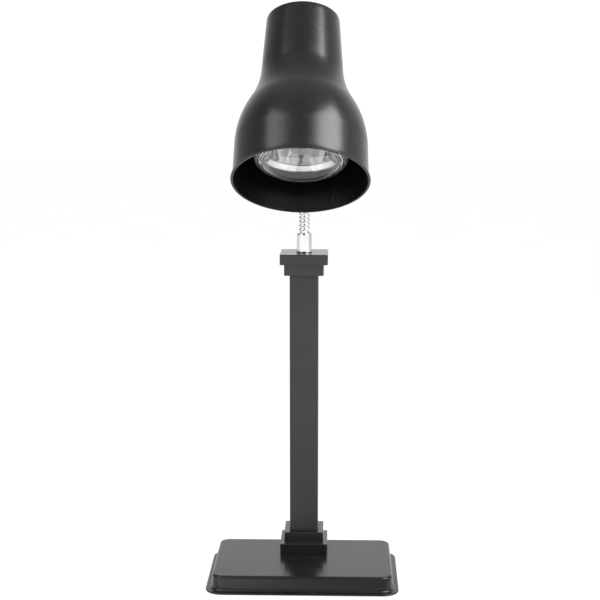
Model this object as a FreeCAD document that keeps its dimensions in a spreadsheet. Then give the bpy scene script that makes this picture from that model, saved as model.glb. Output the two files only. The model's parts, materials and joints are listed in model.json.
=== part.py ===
import FreeCAD, Part
import math
import os
import re

import Sketcher

# Heat lamp warmer: a weighted tray base, a square post, a stay-put gooseneck and a
# bell shade that holds a reflector bulb. Millimetres. The origin is the centre of the
# underside, +Z is up, -Y is the front and +X is to the right of a person in front.

SIZES = {
    # gaps and cutting allowances
    "seat_gap": 0.02,
    "touch_gap": 0.05,
    "fit_gap": 0.1,
    "hole_gap": 0.2,
    "overlap": 1.0,
    # base tray
    "tray_width": 246.0,
    "tray_depth": 164.0,
    "tray_corner": 14.5,
    "tray_top": 24.5,
    "tray_wall": 1.6,
    "tray_draft": 1.6,
    "tray_edge_round": 3.0,
    "tray_foot_round": 4.0,
    "flange_reach": 9.0,
    "flange_thick": 2.5,
    "pad_thick": 1.0,
    "pad_inset": 6.0,
    "pad_hole_gap": 0.8,
    "plate_thick": 2.5,
    "plate_gap": 0.4,
    "ballast_gap": 2.0,
    "ballast_corner": 9.0,
    "ballast_thick": 13.0,
    "bay_left": -104.0,
    "bay_right": -26.0,
    "bay_front": 20.0,
    "screw_across": 104.0,
    "screw_along": 62.0,
    "plate_screw_r": 1.95,
    "plate_screw_head_r": 3.9,
    "plate_screw_long": 16.0,
    # cord inlet
    "gland_across": -72.0,
    "gland_height": 15.0,
    "gland_r": 6.0,
    "gland_bore_r": 3.7,
    "gland_flange_r": 7.4,
    "gland_flange_thick": 3.0,
    "gland_long": 14.0,
    "gland_cone": 1.5,
    "gland_lip": 0.8,
    "gland_mouth": 0.7,
    "gland_nut_flats": 15.0,
    "gland_nut_thick": 4.0,
    # terminal block
    "block_long": 34.0,
    "block_wide": 16.0,
    "block_tall": 13.0,
    "block_across": -66.0,
    "block_along": 47.0,
    "block_pitch": 10.0,
    "block_corner": 1.5,
    "block_well_floor": 3.0,
    "port_height": 5.0,
    "port_r": 1.6,
    "terminal_r": 2.2,
    "terminal_long": 4.5,
    "terminal_seat": 7.2,
    "slot_wide": 0.7,
    "slot_deep": 0.8,
    # post
    "post_along": 47.0,
    "post_side": 40.0,
    "post_wall": 2.0,
    "post_corner": 2.8,
    "post_inner_corner": 1.2,
    "post_fit": 0.15,
    "step_wide": 66.5,
    "step_wide_tall": 14.5,
    "step_narrow": 55.0,
    "step_narrow_tall": 15.6,
    "step_corner": 2.5,
    "step_edge": 0.8,
    "step_floor": 4.0,
    "cap_top": 452.4,
    # tie pipe and its fixings
    "pipe_r": 5.0,
    "pipe_bore_r": 3.4,
    "pipe_hole_r": 5.3,
    "pipe_foot": 13.6,
    "pipe_into_collar": 12.0,
    "counterbore_r": 17.0,
    "counterbore_top": 20.0,
    "washer_r": 13.0,
    "washer_thick": 1.6,
    "nut_flats": 16.0,
    "nut_thick": 4.2,
    "stem_lead_clear": 0.3,
    "stem_lead_gap": 0.5,
    "stem_lead_bend": 7.0,
    "lead_break": 0.2,
    # gooseneck
    "collar_tall": 27.9,
    "collar_foot_r": 11.2,
    "collar_head_r": 10.5,
    "collar_round": 2.6,
    "collar_relief": 1.6,
    "link_length": 11.5,
    "core_r": 6.4,
    "neck_bore": 3.0,
    "ridge_r": 1.8,
    "ridge_centre": 6.2,
    "ball_r": 5.0,
    "socket_r": 5.2,
    "joint_gap": 0.7,
    "mitre_lap": 3.0,
    "bend_turn": 57.9,
    "lead_r": 2.4,
    # upper ferrule
    "ferrule_long": 24.0,
    "ferrule_r": 10.5,
    "ferrule_round": 2.3,
    "spigot_end": 32.1,
    "saddle_r": 13.5,
    "saddle_thick": 3.2,
    "saddle_span": 30.0,
    "lock_nut_gap": 1.0,
    "attach_height": 178.5,
    # shade, measured from its mouth along its own axis
    "shade_tall": 237.0,
    "shade_wall": 1.2,
    "mouth_r": 88.35,
    "lip_tall": 2.4,
    "lip_edge": 0.9,
    "skirt_r": 86.2,
    "shoulder_centre_r": -43.57,
    "shoulder_centre_s": 46.1,
    "shoulder_r": 128.73,
    "skirt_angle": 1.29,
    "shoulder_turn": 29.87,
    "waist_r": 112.7,
    "neck_angle": 3.64,
    "neck_top_r": 48.4,
    "top_opening_r": 40.0,
    "cap_r": 46.0,
    "cap_thick": 1.2,
    "vent_inner": 22.0,
    "vent_outer": 33.0,
    "vent_wide": 3.2,
    "vent_end_r": 1.7,
    "cap_screw_ring": 43.0,
    "cap_screw_r": 1.5,
    "cap_screw_head_r": 2.8,
    "cap_screw_long": 6.0,
    "pan_tall": 1.8,
    # rocker switch in the top of the shade
    "switch_long": 19.4,
    "switch_wide": 13.8,
    "switch_deep": 16.0,
    "bezel_long": 22.6,
    "bezel_wide": 16.4,
    "bezel_thick": 1.6,
    "bezel_corner": 1.0,
    "well_long": 18.0,
    "well_wide": 11.0,
    "well_deep": 5.2,
    "rocker_long": 16.4,
    "rocker_wide": 10.4,
    "rocker_dip": 2.0,
    "rocker_rise": 3.4,
    "rocker_foot": 1.0,
    "rocker_keel": 2.4,
    "rocker_keel_half": 3.0,
    "rocker_pin_r": 1.2,
    "rocker_pin_long": 12.4,
    "pin_hole_r": 1.26,
    "pin_hole_long": 12.8,
    "rocker_tilt": 9.0,
    "tab_wide": 4.8,
    "tab_thick": 0.8,
    "tab_long": 6.0,
    "tab_pitch": 6.0,
    # lampholder
    "holder_mouth": 164.5,
    "holder_top": 206.0,
    "holder_floor": 192.0,
    "holder_r": 20.5,
    "holder_bore_r": 14.6,
    "holder_step": 2.0,
    "holder_taper": 3.0,
    "tongue_long": 20.0,
    "tongue_wide": 7.0,
    "tongue_thick": 0.8,
    "tongue_corner": 2.0,
    "sleeve_r": 14.2,
    "sleeve_wall": 0.4,
    "sleeve_mouth": 167.5,
    "sleeve_gap": 2.0,
    "bracket_thick": 1.5,
    "bracket_wide": 16.0,
    "bracket_half": 17.0,
    "bracket_foot": 10.0,
    "holder_screw_across": 10.5,
    "holder_screw_r": 1.5,
    "holder_screw_head_r": 2.8,
    "holder_screw_long": 8.0,
    # reflector bulb
    "bulb_front": 23.0,
    "bulb_face_r": 47.0,
    "bulb_face_dome": 3.9,
    "bulb_dome_r": 285.0,
    "bulb_rim_s": 34.0,
    "bulb_r": 60.7,
    "bulb_rim_r": 13.4,
    "bulb_body_r": 130.0,
    "bulb_waist_s": 112.0,
    "bulb_waist_r": 25.0,
    "bulb_throat_r": 35.0,
    "bulb_stem_s": 135.1,
    "bulb_stem_r": 15.2,
    "bulb_cap_s": 161.0,
    "bulb_glass_wall": 0.9,
    "mirror_wall": 0.3,
    "mirror_gap": 0.05,
    "mirror_lip_s": 35.0,
    "thread_peak_r": 13.3,
    "thread_root_r": 12.5,
    "thread_pitch": 3.6,
    "thread_start": 168.0,
    "bulb_cap_wall": 0.4,
    "bulb_cap_end": 187.0,
    "bulb_contact_r": 5.0,
    "contact_edge": 1.0,
    "insulator_wide": 4.0,
    "insulator_tall": 3.0,
    "bulb_end": 191.0,
    "filament_s": 84.0,
    "filament_ring": 9.0,
    "filament_r": 0.7,
    "filament_arc": 290.0,
    "filament_turn": 125.0,
    "support_r": 0.6,
    "support_straight": 8.0,
    "stem_glass_r": 5.0,
    # lead inside the head
    "head_lead_turn": 12.0,
    "head_lead_rise": 10.0,
    "head_lead_bend_at": 40.0,
    "head_lead_top": 211.0,
    "head_lead_end": 11.0,
}
STRAIGHT_LINKS = 12
CURVED_LINKS = 6
VENTS = 12
CAP_SCREWS = 4
THREADS = 4
CENTRE_POINT = 3
MATCH = 0.01
LEAD_MISS = 0.05
LEAST_CUT = 1e-6

MODULE = "link_length / 2"
BALLAST_TOP = "tray_top - tray_wall - fit_gap"
TOP_PLATE = "shade_tall - shade_wall"
CAP_UNDER = "shade_tall - shade_wall - cap_thick"

V = FreeCAD.Vector
Z = V(0, 0, 1)
X = V(1, 0, 0)
TURN_UP = FreeCAD.Rotation(X, -90)

doc = FreeCAD.newDocument("heat_lamp_warmer")
sheet = doc.addObject("Spreadsheet::Sheet", "Dims")
for row, (alias, number) in enumerate(SIZES.items(), start=1):
    sheet.set(f"A{row}", alias)
    sheet.set(f"B{row}", str(number))
    sheet.setAlias(f"B{row}", alias)
doc.recompute()

NODES = []


# ---------------------------------------------------------------- helpers


def cells(text):
    """The expression with each of the sheet's names pointing at its cell."""
    def point(match):
        word = match.group(0)
        return f"Dims.{word}" if word in SIZES else word
    return re.sub(r"[a-z][a-z_0-9]*", point, str(text))


def size(text):
    """The number that an expression of the sheet's names stands for now."""
    found = sheet.evalExpression(cells(text))
    return float(getattr(found, "Value", found))


def bind(item, prop, text):
    item.setExpression(prop, cells(text))


def place(item, x=0, y=0, z=0, rotation=None):
    """Put an item at x, y, z, each given as an expression or a number."""
    turn = rotation if rotation is not None else FreeCAD.Rotation()
    item.Placement = FreeCAD.Placement(V(size(x), size(y), size(z)), turn)
    return item


def node(item, label):
    item.Label = label
    NODES.append(item)
    return item


def new_body(name):
    return doc.addObject("PartDesign::Body", name)


def sketch_on(body, role, lift="0"):
    sketch = body.newObject("Sketcher::SketchObject", body.Name + "_sketch")
    plane = [f for f in body.Origin.OriginFeatures if f.Role == role][0]
    sketch.AttachmentSupport = [(plane, "")]
    sketch.MapMode = "FlatFace"
    if lift != "0":
        bind(sketch, "AttachmentOffset.Base.z", lift)
    return sketch


def pin_point(sketch, geometry, end, point, x, y):
    """Tie one end of a line or arc to its two coordinates."""
    for kind, number, text in (("DistanceX", point.x, x), ("DistanceY", point.y, y)):
        sketch.addConstraint(Sketcher.Constraint(kind, -1, 1, geometry, end, number))
        bind(sketch, f"Constraints[{sketch.ConstraintCount - 1}]", text)


def add_segment(sketch, start, finish, bend):
    """A line, or an arc whose centre lies to the left (+1) or right (-1) of it."""
    if not bend:
        geometry = sketch.addGeometry(Part.LineSegment(start, finish))
        return geometry, 1, 2
    radius = size(bend[0])
    side = bend[1]
    chord = finish - start
    rise = math.sqrt(max(radius ** 2 - (chord.Length / 2) ** 2, 0.0))
    left = V(-chord.y, chord.x, 0).normalize()
    centre = (start + finish) * 0.5 + left * (rise * side)
    first = math.atan2(start.y - centre.y, start.x - centre.x)
    last = math.atan2(finish.y - centre.y, finish.x - centre.x)
    if side < 0:
        first, last = last, first
    circle = Part.Circle(centre, Z, radius)
    geometry = sketch.addGeometry(Part.ArcOfCircle(circle, first, last))
    sketch.addConstraint(Sketcher.Constraint("Radius", geometry, radius))
    bind(sketch, f"Constraints[{sketch.ConstraintCount - 1}]", bend[0])
    return (geometry, 1, 2) if side > 0 else (geometry, 2, 1)


def outline(body, role, points, lift="0", closed=True):
    """A sketch through points (x, y) or (x, y, radius, side): the last two bend the
    stretch that starts at that point."""
    sketch = sketch_on(body, role, lift)
    flat = [V(size(p[0]), size(p[1]), 0) for p in points]
    count = len(points) if closed else len(points) - 1
    ends = []
    for i in range(count):
        after = (i + 1) % len(points)
        ends.append(add_segment(sketch, flat[i], flat[after], points[i][2:]))
    for i in range(count):
        geometry, start, _ = ends[i]
        if closed or i > 0:
            before, _, finish = ends[i - 1]
            sketch.addConstraint(
                Sketcher.Constraint("Coincident", before, finish, geometry, start))
        pin_point(sketch, geometry, start, flat[i], points[i][0], points[i][1])
    if not closed:
        geometry, _, finish = ends[-1]
        pin_point(sketch, geometry, finish, flat[-1], points[-1][0], points[-1][1])
    return sketch


def rectangle(body, wide, deep, corner, lift="0"):
    """A rectangle with round corners, centred in the body's XY plane."""
    left, right = f"-({wide}) / 2", f"({wide}) / 2"
    near, far = f"-({deep}) / 2", f"({deep}) / 2"
    if corner == "0":
        points = [(left, near), (right, near), (right, far), (left, far)]
    else:
        corner = f"({corner})"
        points = [
            (f"{left} + {corner}", near), (f"{right} - {corner}", near, corner, 1),
            (right, f"{near} + {corner}"), (right, f"{far} - {corner}", corner, 1),
            (f"{right} - {corner}", far), (f"{left} + {corner}", far, corner, 1),
            (left, f"{far} - {corner}"), (left, f"{near} + {corner}", corner, 1),
        ]
    return outline(body, "XY_Plane", points, lift)


def circles(body, role, spots, radius, lift="0"):
    """Circles of one radius at the (x, y) spots of a plane."""
    sketch = sketch_on(body, role, lift)
    for x, y in spots:
        centre = V(size(x), size(y), 0)
        geometry = sketch.addGeometry(Part.Circle(centre, Z, size(radius)))
        sketch.addConstraint(Sketcher.Constraint("Radius", geometry, size(radius)))
        bind(sketch, f"Constraints[{sketch.ConstraintCount - 1}]", radius)
        pin_point(sketch, geometry, CENTRE_POINT, centre, x, y)
    return sketch


def hexagon(body, flats, lift="0"):
    corner = f"({flats}) / sqrt(3)"
    points = [(f"{corner} * cos({60 * k})", f"{corner} * sin({60 * k})") for k in range(6)]
    return outline(body, "XY_Plane", points, lift)


def pad(body, sketch, length, both_ways=False):
    feature = body.newObject("PartDesign::Pad", body.Name + "_pad")
    feature.Profile = sketch
    bind(feature, "Length", length)
    feature.Midplane = both_ways
    return feature


def pocket(body, sketch, length, up=False, both_ways=False):
    """Cut down from the sketch's plane, or up along its normal, and check the cut."""
    doc.recompute()
    before = body.Shape.Volume
    feature = body.newObject("PartDesign::Pocket", body.Name + "_pocket")
    feature.Profile = sketch
    bind(feature, "Length", length)
    feature.Reversed = up
    feature.Midplane = both_ways
    doc.recompute()
    if body.Shape.Volume > before - LEAST_CUT:
        raise RuntimeError(f"{feature.Label} cuts nothing")
    return feature


def revolve(body, sketch):
    feature = body.newObject("PartDesign::Revolution", body.Name + "_turned")
    feature.Profile = sketch
    feature.ReferenceAxis = (sketch, ["V_Axis"])
    feature.Angle = 360
    return feature


def fillet(body, radius, wanted):
    """Round the edges of the body's solid that the wanted function picks."""
    doc.recompute()
    base = body.Tip
    names = [f"Edge{i}" for i, e in enumerate(base.Shape.Edges, start=1) if wanted(e)]
    feature = body.newObject("PartDesign::Fillet", body.Name + "_round")
    feature.Base = (base, names)
    bind(feature, "Radius", radius)
    return feature


def turned(label, points, x=0, y=0, z=0, rotation=None):
    """A node that is one outline (radius, height) turned about its own Z axis."""
    body = node(new_body(label), label)
    revolve(body, outline(body, "XZ_Plane", points))
    return place(body, x, y, z, rotation)


def sweep(body, ring, spine):
    """Carry a ring along an open path."""
    pipe = body.newObject("PartDesign::AdditivePipe", body.Name + "_swept")
    pipe.Profile = ring
    pipe.Spine = (spine, [f"Edge{i + 1}" for i in range(spine.GeometryCount)])
    return pipe


def group(label, members):
    """Identical fasteners as one node of separate solids."""
    holder = doc.addObject("Part::Compound", label)
    holder.Links = members
    return node(holder, label)


def height(edge):
    return [v.Z for v in edge.Vertexes]


def level(edge, z):
    return all(abs(v - size(z)) < MATCH for v in height(edge))


# ---------------------------------------------------------------- base


def base_shell():
    """The pressed tray: drafted walls, a rounded rim and an outward flange."""
    body = node(new_body("base_shell"), "base_shell")
    flange = rectangle(body, "tray_width + 2 * flange_reach", "tray_depth + 2 * flange_reach",
                       "tray_corner + flange_reach", "pad_thick")
    pad(body, flange, "flange_thick")
    spread = "2 * (tray_top - pad_thick) * tan(tray_draft)"
    wall = rectangle(body, f"tray_width + {spread}", f"tray_depth + {spread}",
                     f"tray_corner + ({spread}) / 2", "pad_thick")
    rise = pad(body, wall, "tray_top - pad_thick")
    bind(rise, "TaperAngle", "-tray_draft")
    inner_w = "tray_width - 2 * tray_wall"
    inner_d = "tray_depth - 2 * tray_wall"
    fillet(body, "tray_edge_round", lambda e: level(e, "tray_top"))
    root = size("pad_thick + flange_thick")
    outer_x = size("tray_width / 2 + flange_reach / 2")
    outer_y = size("tray_depth / 2 + flange_reach / 2")

    def at_root(edge):
        spot = edge.CenterOfMass
        away = abs(spot.x) + abs(spot.y) < outer_x + outer_y - size("tray_corner")
        inside = away and abs(spot.x) < outer_x and abs(spot.y) < outer_y
        return inside and all(abs(z - root) < MATCH for z in height(edge))
    fillet(body, "tray_foot_round", at_root)
    hollow = rectangle(body, inner_w, inner_d, "tray_corner - tray_wall", "pad_thick")
    pocket(body, hollow, "tray_top - pad_thick - tray_wall", up=True)
    hole = circles(body, "XY_Plane", [("0", "post_along")], "pipe_hole_r")
    pocket(body, hole, "tray_top + overlap", up=True)
    inlet = circles(body, "XZ_Plane", [("gland_across", "gland_height")], "gland_r + fit_gap")
    pocket(body, inlet, "tray_depth", up=False)
    return body


def base_ballast():
    """The iron weight, with a bay for the wiring and a recess for the tie nut."""
    body = node(new_body("base_ballast"), "base_ballast")
    under = f"{BALLAST_TOP} - ballast_thick"
    block = rectangle(body, "tray_width - 2 * tray_wall - 2 * ballast_gap",
                      "tray_depth - 2 * tray_wall - 2 * ballast_gap", "ballast_corner", under)
    pad(body, block, "ballast_thick")
    bay = outline(body, "XY_Plane", [
        ("bay_left", "bay_front"), ("bay_right", "bay_front"),
        ("bay_right", "tray_depth"), ("bay_left", "tray_depth")])
    pocket(body, bay, "tray_top", up=True)
    recess = circles(body, "XY_Plane", [("0", "post_along")], "counterbore_r")
    pocket(body, recess, "counterbore_top", up=True)
    bore = circles(body, "XY_Plane", [("0", "post_along")], "pipe_hole_r")
    pocket(body, bore, "tray_top", up=True)
    taps = circles(body, "XY_Plane", screw_spots(), "plate_screw_r + touch_gap")
    pocket(body, taps, "pad_thick + plate_screw_long + overlap", up=True)
    return body


def screw_spots():
    return [(f"{sx} * screw_across", f"{sy} * screw_along") for sx in (-1, 1) for sy in (-1, 1)]


def base_bottom_plate():
    body = node(new_body("base_bottom_plate"), "base_bottom_plate")
    sheet_metal = rectangle(body, "tray_width - 2 * tray_wall - 2 * plate_gap",
                            "tray_depth - 2 * tray_wall - 2 * plate_gap",
                            "tray_corner - tray_wall - plate_gap", "pad_thick")
    pad(body, sheet_metal, "plate_thick")
    for sx, sy in screw_spots():
        sink = body.newObject("PartDesign::SubtractiveCone", "sink")
        bind(sink, "Radius1", "plate_screw_head_r + fit_gap")
        bind(sink, "Radius2", "plate_screw_r + fit_gap")
        bind(sink, "Height", "plate_screw_head_r - plate_screw_r")
        sink.Placement = FreeCAD.Placement(V(size(sx), size(sy), size("pad_thick")),
                                           FreeCAD.Rotation())
    holes = circles(body, "XY_Plane", screw_spots(), "plate_screw_r + fit_gap")
    pocket(body, holes, "tray_top", up=True)
    return body


def base_pad():
    """The soft sheet that the lamp stands on, pierced over the four screws."""
    body = node(new_body("base_pad"), "base_pad")
    sole = rectangle(body, "tray_width - 2 * pad_inset", "tray_depth - 2 * pad_inset",
                     "tray_corner")
    pad(body, sole, "pad_thick")
    holes = circles(body, "XY_Plane", screw_spots(), "plate_screw_head_r + pad_hole_gap")
    pocket(body, holes, "tray_top", up=True)
    return body


def bottom_plate_screws():
    screws = []
    head = "plate_screw_head_r - plate_screw_r"
    for sx, sy in screw_spots():
        body = new_body("plate_screw")
        revolve(body, outline(body, "XZ_Plane", [
            ("0", "touch_gap"), ("plate_screw_head_r", "touch_gap"),
            ("plate_screw_r", f"{head} + touch_gap"), ("plate_screw_r", "plate_screw_long"),
            ("0", "plate_screw_long")]))
        screws.append(place(body, sx, sy, "pad_thick"))
    return group("bottom_plate_screws", screws)


def wall_at(z):
    """How far back the outside of the rear wall is at height z."""
    return size(f"tray_depth / 2 + (tray_top - ({z})) * tan(tray_draft)")


def cord_gland():
    """Round strain relief in the rear wall; its own Z axis points out to the back."""
    back = wall_at("gland_height - gland_flange_r") + size("touch_gap")
    return turned("cord_gland", [
        ("gland_bore_r", "-gland_long"), ("gland_r", "-gland_long"), ("gland_r", "0"),
        ("gland_flange_r", "0"), ("gland_flange_r", "gland_flange_thick / 2"),
        ("gland_r", "gland_flange_thick + gland_cone"),
        ("gland_bore_r + gland_lip", "gland_flange_thick + gland_cone"),
        ("gland_bore_r", "gland_flange_thick + gland_mouth")],
        "gland_across", back, "gland_height", TURN_UP)


def hex_nut(label, flats, thick, bore, x, y, z, rotation=None):
    body = node(new_body(label), label)
    pad(body, hexagon(body, flats), thick)
    pocket(body, circles(body, "XY_Plane", [("0", "0")], bore), thick, up=True)
    return place(body, x, y, z, rotation)


def gland_nut():
    inner = size("tray_depth / 2 - tray_wall - gland_nut_thick - touch_gap")
    return hex_nut("gland_nut", "gland_nut_flats", "gland_nut_thick", "gland_r + touch_gap",
                   "gland_across", inner, "gland_height", TURN_UP)


def terminal_spots():
    return [f"{k} * block_pitch" for k in (-1, 0, 1)]


def terminal_block():
    """Three-way block beside the tie nut, open on top over each screw."""
    body = node(new_body("terminal_block"), "terminal_block")
    pad(body, rectangle(body, "block_wide", "block_long", "block_corner"), "block_tall")
    wells = circles(body, "XY_Plane", [("0", y) for y in terminal_spots()],
                    "terminal_r + fit_gap", "block_tall")
    pocket(body, wells, "block_tall - block_well_floor")
    ports = circles(body, "YZ_Plane", [(y, "port_height") for y in terminal_spots()], "port_r")
    pocket(body, ports, "block_wide + 2 * overlap", both_ways=True)
    return place(body, "block_across", "block_along", "pad_thick + plate_thick + touch_gap")


def terminal_screws():
    screws = []
    for y in terminal_spots():
        body = new_body("terminal_screw")
        revolve(body, outline(body, "XZ_Plane", [
            ("0", "0"), ("terminal_r", "0"), ("terminal_r", "terminal_long"),
            ("0", "terminal_long")]))
        slot = rectangle(body, "3 * terminal_r", "slot_wide", "0", "terminal_long")
        pocket(body, slot, "slot_deep")
        screws.append(place(body, "block_across", f"block_along + {y}",
                            "pad_thick + plate_thick + terminal_seat"))
    return group("terminal_screws", screws)


# ---------------------------------------------------------------- post


def stepped_block(label, z, rotation=None):
    """A wide square plinth with a narrower one on it, bored square for the post."""
    body = node(new_body(label), label)
    pad(body, rectangle(body, "step_wide", "step_wide", "step_corner"), "step_wide_tall")
    pad(body, rectangle(body, "step_narrow", "step_narrow", "step_corner", "step_wide_tall"),
        "step_narrow_tall")
    total = "step_wide_tall + step_narrow_tall"
    fillet(body, "step_edge", lambda e: level(e, total) or level(e, "step_wide_tall"))
    well = rectangle(body, "post_side + 2 * post_fit", "post_side + 2 * post_fit",
                     "post_corner + post_fit", total)
    pocket(body, well, f"{total} - step_floor")
    bore = circles(body, "XY_Plane", [("0", "0")], "pipe_hole_r", total)
    pocket(body, bore, f"{total} + overlap")
    return place(body, 0, "post_along", z, rotation)


def post_tube():
    body = node(new_body("post_tube"), "post_tube")
    low = "tray_top + step_floor"
    long = f"cap_top - step_floor - ({low})"
    pad(body, rectangle(body, "post_side", "post_side", "post_corner"), long)
    hollow = rectangle(body, "post_side - 2 * post_wall", "post_side - 2 * post_wall",
                       "post_inner_corner")
    pocket(body, hollow, long, up=True)
    return place(body, 0, "post_along", low)


def tie_pipe():
    """Hollow threaded rod that clamps collar, cap, post, foot, tray and ballast."""
    long = "cap_top + pipe_into_collar - pipe_foot"
    return turned("tie_pipe", [
        ("pipe_bore_r", "0"), ("pipe_r", "0"), ("pipe_r", long), ("pipe_bore_r", long)],
        0, "post_along", "pipe_foot")


def tie_washer():
    return turned("tie_washer", [
        ("pipe_r + hole_gap", "0"), ("washer_r", "0"), ("washer_r", "washer_thick"),
        ("pipe_r + hole_gap", "washer_thick")],
        0, "post_along", "counterbore_top - washer_thick")


def stem_lead():
    """From the terminal block under the tie nut and up the pipe to the first joint."""
    body = node(new_body("stem_lead"), "stem_lead")
    low = "pad_thick + plate_thick + lead_r + stem_lead_clear"
    bend = "stem_lead_bend"
    start = "block_across + block_wide / 2 + stem_lead_gap"
    spine = outline(body, "XZ_Plane", [
        (start, low), (f"-{bend}", low, bend, 1), ("0", f"{low} + {bend}"),
        ("0", "cap_top + collar_tall - lead_break")], closed=False)
    ring = circles(body, "YZ_Plane", [("0", low)], "lead_r", start)
    sweep(body, ring, spine)
    return place(body, 0, "post_along", 0)


# ---------------------------------------------------------------- gooseneck


def ball_points(top):
    """The end of a link: its core stops short and a bored ball stands on the joint."""
    return [("core_r", f"{top} - joint_gap"),
            ("sqrt(ball_r ^ 2 - joint_gap ^ 2)", f"{top} - joint_gap", "ball_r", 1),
            ("neck_bore", f"{top} + sqrt(ball_r ^ 2 - neck_bore ^ 2)")]


def socket_points():
    """The start of a link: a spherical seat round the ball below it."""
    return [("neck_bore", "sqrt(socket_r ^ 2 - neck_bore ^ 2)", "socket_r", -1),
            ("sqrt(socket_r ^ 2 - joint_gap ^ 2)", "joint_gap")]


def ridge_points(middle):
    half = "sqrt(ridge_r ^ 2 - (core_r - ridge_centre) ^ 2)"
    return [("core_r", f"{middle} - {half}", "ridge_r", 1), ("core_r", f"{middle} + {half}")]


def straight_link(label):
    body = node(new_body(label), label)
    points = socket_points() + [("core_r", "joint_gap")]
    points += ridge_points(f"{MODULE} / 2")
    points += ridge_points(f"3 * {MODULE} / 2")
    points += ball_points("link_length")
    revolve(body, outline(body, "YZ_Plane", points))
    return body


def link_half(name, points, cutter_z, lean):
    """Half of a curved link in its own frame, trimmed by the leaning mitre plane."""
    body = new_body(name)
    revolve(body, outline(body, "YZ_Plane", points))
    trim = body.newObject("PartDesign::SubtractiveBox", "mitre")
    bind(trim, "Length", "4 * core_r")
    bind(trim, "Width", "4 * core_r")
    bind(trim, "Height", "mitre_lap")
    turn = FreeCAD.Rotation(X, lean)
    corner = V(-2 * size("core_r"), -2 * size("core_r"), 0)
    spot = V(0, 0, size(cutter_z[0])) + turn.multVec(corner + Z * size(cutter_z[1]))
    trim.Placement = FreeCAD.Placement(spot, turn)
    return body


def curved_link(label, turn):
    """Two turned halves that meet at a mitre, the upper one leaning forward."""
    end = f"{MODULE} + mitre_lap / 3"
    lower = socket_points() + [("core_r", "joint_gap")] + ridge_points(f"{MODULE} / 2")
    lower += [("core_r", end), ("neck_bore", end)]
    upper = [("neck_bore", "-mitre_lap / 3"), ("core_r", "-mitre_lap / 3")]
    upper += ridge_points(f"{MODULE} / 2") + ball_points(MODULE)
    halves = [link_half("lower_half", lower, (MODULE, "0"), turn / 2),
              link_half("upper_half", upper, ("0", "-mitre_lap"), -turn / 2)]
    place(halves[1], 0, 0, MODULE, FreeCAD.Rotation(X, turn))
    link = node(doc.addObject("Part::MultiFuse", label), label)
    link.Shapes = halves
    return link


def heading(degrees):
    """The direction that a vertical line takes once it leans forward by an angle."""
    turn = math.radians(degrees)
    return V(0, -math.sin(turn), math.cos(turn))


def neck_links():
    """The chain of links; returns the last joint's centre."""
    joint = V(0, size("post_along"), size("cap_top + collar_tall"))
    step = size("bend_turn") / (2 * CURVED_LINKS)
    module = size(MODULE)
    for i in range(STRAIGHT_LINKS):
        link = straight_link(f"neck_link_{i + 1:02d}")
        link.Placement = FreeCAD.Placement(joint, FreeCAD.Rotation())
        joint = joint + Z * (2 * module)
    for i in range(CURVED_LINKS):
        link = curved_link(f"neck_link_{STRAIGHT_LINKS + i + 1:02d}", step)
        lean = (2 * i + 0.5) * step
        link.Placement = FreeCAD.Placement(joint, FreeCAD.Rotation(X, lean))
        joint = joint + heading(lean) * module + heading(lean + step) * module
    return joint


def neck_collar():
    """Chromed ferrule that screws down on the tie pipe; its ball is the first joint."""
    shoulder = "collar_tall - joint_gap"
    points = [
        ("pipe_r + touch_gap", "0"), ("collar_foot_r", "0"),
        ("collar_head_r", f"{shoulder} - collar_round", "collar_round", 1),
        ("collar_head_r - collar_round", shoulder)]
    points += ball_points("collar_tall")[1:]
    points += [("neck_bore", "pipe_into_collar + collar_relief"),
               ("pipe_r + touch_gap", "pipe_into_collar + collar_relief")]
    return turned("neck_collar", points, 0, "post_along", "cap_top")


def neck_lead(first, last):
    """The flexible lead through the links, straight and then along the bend."""
    body = node(new_body("neck_lead"), "neck_lead")
    rise = f"{STRAIGHT_LINKS} * link_length"
    bend = f"{MODULE} / (2 * sin(bend_turn / {4 * CURVED_LINKS}))"
    end = last - first
    spine = outline(body, "YZ_Plane", [
        ("0", "0"), ("0", rise, bend, 1),
        (f"-({bend}) * (1 - cos(bend_turn))", f"{rise} + ({bend}) * sin(bend_turn)")],
        closed=False)
    doc.recompute()
    reach = spine.Shape.Vertexes[-1].Point
    if abs(reach.y - end.y) > LEAD_MISS or abs(reach.z - end.z) > LEAD_MISS:
        raise RuntimeError("the neck's lead misses its last joint")
    sweep(body, circles(body, "XY_Plane", [("0", "0")], "lead_r"), spine)
    body.Placement = FreeCAD.Placement(first, FreeCAD.Rotation())
    return body


# ---------------------------------------------------------------- head


def shade_radius(s):
    """Outer radius of the shade's neck at height s above the mouth."""
    return f"(neck_top_r + (shade_tall - ({s})) * tan(neck_angle))"


def head_placement(last):
    """Where the shade's own frame stands: its Z axis runs up through the neck."""
    lean = size("bend_turn")
    attach = last + heading(lean) * size("ferrule_long")
    axis = heading(lean - 90)
    back = heading(lean) * -1
    mouth = attach - axis * size("attach_height") - back * size(shade_radius("attach_height"))
    return FreeCAD.Placement(mouth, FreeCAD.Rotation(X, lean - 90))


def in_head(item, head, x=0, y=0, z=0, rotation=None):
    """Place an item in the shade's frame."""
    turn = rotation if rotation is not None else FreeCAD.Rotation()
    item.Placement = head.multiply(FreeCAD.Placement(V(size(x), size(y), size(z)), turn))
    return item


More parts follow.
